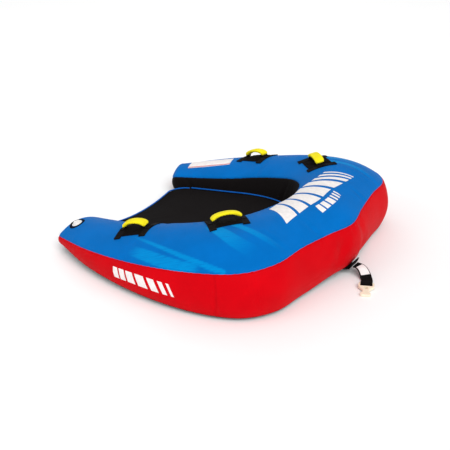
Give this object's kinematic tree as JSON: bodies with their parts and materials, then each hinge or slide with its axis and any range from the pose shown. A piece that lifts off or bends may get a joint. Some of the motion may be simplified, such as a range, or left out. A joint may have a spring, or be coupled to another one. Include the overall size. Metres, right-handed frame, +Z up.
{
  "type": "towable tube",
  "caption": "Inflatable towable tube with a U-shaped bladder in a sewn cover, a padded sling floor, webbing grab handles, a valve, a zipper and a tow strap with a quick connector.",
  "frame": {"origin": "on the ground, under the middle of the bounding box, tow strap included", "axes": "+X forward to the tow point, +Y to port, +Z up"},
  "size_m": [1.3672, 1.3812, 0.3377],
  "materials": {
    "blue_fabric": "printed polyester cover fabric, satin",
    "red_fabric": "printed polyester cover fabric, satin",
    "black_fabric": "woven nylon, matt",
    "floor_fabric": "neoprene-like knit over foam, matt",
    "blue_piping": "cord piping, satin",
    "black_webbing": "woven webbing",
    "yellow_fabric": "padded neoprene sleeve, satin",
    "foam": "closed-cell foam, matt",
    "bladder_vinyl": "PVC bladder, satin",
    "label_vinyl": "blank printed vinyl, satin",
    "white_plastic": "moulded, satin",
    "cream_plastic": "moulded nylon, satin",
    "zipper_metal": "plated, satin"
  },
  "bodies": {
    "tube": {"valve_ring": "black_webbing", "valve_base": "white_plastic", "bladder": "bladder_vinyl", "cover_top_panel": "blue_fabric", "cover_outer_wall": "red_fabric", "cover_cockpit_wall": "black_fabric", "cover_bottom_panel": "black_fabric", "floor_cover": "floor_fabric", "floor_pad": "foam", "floor_sling": "black_fabric", "floor_piping_wall": "blue_piping", "floor_piping_rear": "blue_piping", "handle_rear_port_pad": "black_fabric", "handle_rear_port_strap_front": "black_webbing", "handle_rear_port_strap_rear": "black_webbing", "handle_rear_starboard_pad": "black_fabric", "handle_rear_starboard_strap_front": "black_webbing", "handle_rear_starboard_strap_rear": "black_webbing", "handle_front_port_pad": "black_fabric", "handle_front_port_strap_front": "black_webbing", "handle_front_port_strap_rear": "black_webbing", "handle_front_starboard_pad": "black_fabric", "handle_front_starboard_strap_front": "black_webbing", "handle_front_starboard_strap_rear": "black_webbing", "safety_label": "label_vinyl", "zipper_tape_upper": "black_webbing", "zipper_tape_lower": "black_webbing", "zipper_chain": "black_webbing", "zipper_stop_front": "zipper_metal", "zipper_stop_rear": "zipper_metal", "tow_anchor": "black_webbing"},
    "handle_front_port": {"handle_front_port_webbing": "black_webbing", "handle_front_port_grip": "yellow_fabric"},
    "handle_front_starboard": {"handle_front_starboard_webbing": "black_webbing", "handle_front_starboard_grip": "yellow_fabric"},
    "handle_rear_port": {"handle_rear_port_webbing": "black_webbing", "handle_rear_port_grip": "yellow_fabric"},
    "handle_rear_starboard": {"handle_rear_starboard_webbing": "black_webbing", "handle_rear_starboard_grip": "yellow_fabric"},
    "valve_insert": {"valve_insert": "white_plastic"},
    "valve_cap": {"valve_cap": "white_plastic"},
    "zipper_slider": {"zipper_slider": "zipper_metal"},
    "zipper_pull": {"zipper_pull": "zipper_metal"},
    "tow_strap": {"tow_strap": "black_webbing", "tow_strap_tag": "label_vinyl"},
    "tow_connector": {"tow_connector": "cream_plastic"}
  },
  "joints": [
    {"name": "handle_front_port_rock", "type": "hinge", "parent": "tube", "child": "handle_front_port", "pos_m": [0.13898, 0.3856, 0.30778], "axis": [0.715, -0.6928, 0.0933], "range_deg": [-25, 25], "stiffness_Nm_per_rad": 0.15},
    {"name": "handle_front_starboard_rock", "type": "hinge", "parent": "tube", "child": "handle_front_starboard", "pos_m": [0.13898, -0.3856, 0.30778], "axis": [0.715, 0.6928, 0.0933], "range_deg": [-25, 25], "stiffness_Nm_per_rad": 0.15},
    {"name": "handle_rear_port_rock", "type": "hinge", "parent": "tube", "child": "handle_rear_port", "pos_m": [-0.24108, 0.48868, 0.22398], "axis": [0.9626, -0.1312, 0.2369], "range_deg": [-25, 25], "stiffness_Nm_per_rad": 0.15},
    {"name": "handle_rear_starboard_rock", "type": "hinge", "parent": "tube", "child": "handle_rear_starboard", "pos_m": [-0.24108, -0.48868, 0.22398], "axis": [0.9626, 0.1312, 0.2369], "range_deg": [-25, 25], "stiffness_Nm_per_rad": 0.15},
    {"name": "valve_turn", "type": "hinge", "parent": "tube", "child": "valve_insert", "pos_m": [-0.6099, -0.43369, 0.12455], "axis": [-0.271, -0.224, 0.9361], "range_deg": [0, 720]},
    {"name": "valve_cap_flip", "type": "hinge", "parent": "valve_insert", "child": "valve_cap", "pos_m": [-0.62847, -0.42956, 0.12743], "axis": [-0.2507, -0.9226, -0.2933], "range_deg": [0, 150]},
    {"name": "zipper_slide", "type": "slide", "parent": "tube", "child": "zipper_slider", "axis": [0.9896, -0.0516, 0.1341], "range_m": [-0.2514, 0]},
    {"name": "zipper_pull_flip", "type": "hinge", "parent": "zipper_slider", "child": "zipper_pull", "pos_m": [-0.18929, -0.30167, 0.13301], "axis": [0.1423, 0.2242, -0.9641], "range_deg": [0, 165]},
    {"name": "tow_strap_lift", "type": "hinge", "parent": "tube", "child": "tow_strap", "pos_m": [0.53707, 0, 0.038], "axis": [0, -1, 0], "range_deg": [0, 60]},
    {"name": "tow_connector_swing", "type": "hinge", "parent": "tow_strap", "child": "tow_connector", "pos_m": [0.63183, -0.08685, 0.0114], "axis": [-0.9272, -0.3746, 0], "range_deg": [0, 70]}
  ]
}
